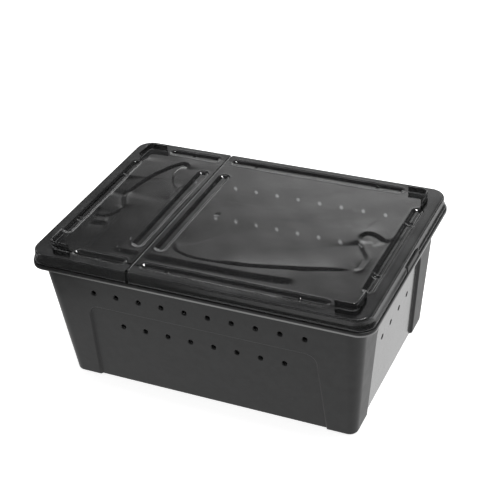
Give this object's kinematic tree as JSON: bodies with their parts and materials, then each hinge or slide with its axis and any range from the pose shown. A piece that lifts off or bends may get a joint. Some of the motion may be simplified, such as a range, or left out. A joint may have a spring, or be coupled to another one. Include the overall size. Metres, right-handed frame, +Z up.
{
  "type": "portable reptile terrarium",
  "caption": "Tapered, vented plastic tub for small reptiles, with a push-fit see-through lid that has a feeding flap on a living hinge, pressed stiffening channels and stacking locators.",
  "frame": {"origin": "under the middle of the base, on the plane that the tub stands on", "axes": "+X along the long side from the flap towards the main panel of the lid, +Z up, and -Y faces the long side at the front of the picture"},
  "size_m": [0.26, 0.175, 0.115],
  "materials": {
    "black_plastic": "fine moulded texture, satin",
    "smoked_plastic": "smoked, see-through, glossy"
  },
  "bodies": {
    "tub": {"tub": "black_plastic"},
    "lid_main": {"lid_main": "smoked_plastic", "hinge_web": "smoked_plastic"},
    "lid_flap": {"lid_flap": "smoked_plastic"}
  },
  "joints": [
    {"name": "lid_lift", "type": "slide", "parent": "tub", "child": "lid_main", "axis": [0, 0, 1], "range_m": [0, 0.06]},
    {"name": "flap_fold", "type": "hinge", "parent": "lid_main", "child": "lid_flap", "pos_m": [-0.04965, 0, 0.1103], "axis": [0, 1, 0], "range_deg": [0, 150]}
  ]
}
